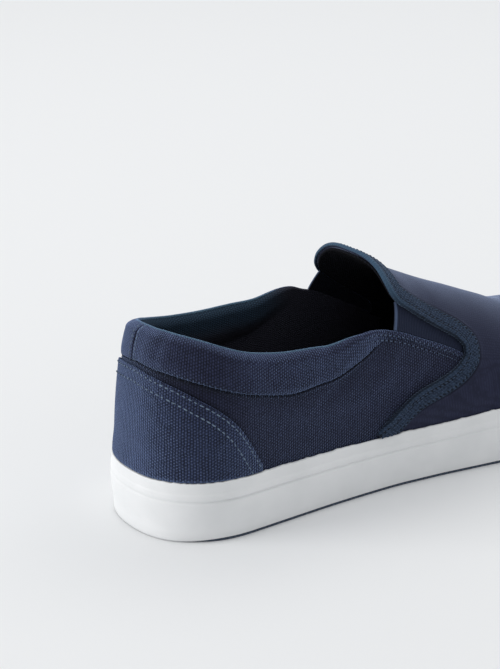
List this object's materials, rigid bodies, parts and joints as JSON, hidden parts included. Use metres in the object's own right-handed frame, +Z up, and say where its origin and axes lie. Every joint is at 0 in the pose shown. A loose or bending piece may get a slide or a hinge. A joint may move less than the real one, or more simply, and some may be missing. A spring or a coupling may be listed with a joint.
{
  "type": "sneaker",
  "caption": "Low canvas slip-on sneaker for the right foot, with padded collar, elastic gores, bound throat and a wrapped rubber sole.",
  "frame": {"origin": "on the floor, under the middle of the outsole's bounding box", "axes": "+Y to the toe, +X to the outer side of the foot, +Z up"},
  "size_m": [0.104, 0.294, 0.1031],
  "materials": {
    "blue_rubber": "matt slate-blue rubber",
    "white_rubber": "smooth matt white vulcanised rubber",
    "footbed": "dark knit cover",
    "canvas": "navy woven canvas",
    "counter_canvas": "navy woven canvas",
    "elastic": "ribbed elastic",
    "tape": "teal-navy woven tape"
  },
  "bodies": {
    "root": {"outsole": "blue_rubber", "foxing": "white_rubber", "insole": "footbed", "upper": "canvas", "heel_counter": "counter_canvas", "gore_outer": "elastic", "gore_inner": "elastic", "throat_binding": "tape"}
  },
  "joints": []
}
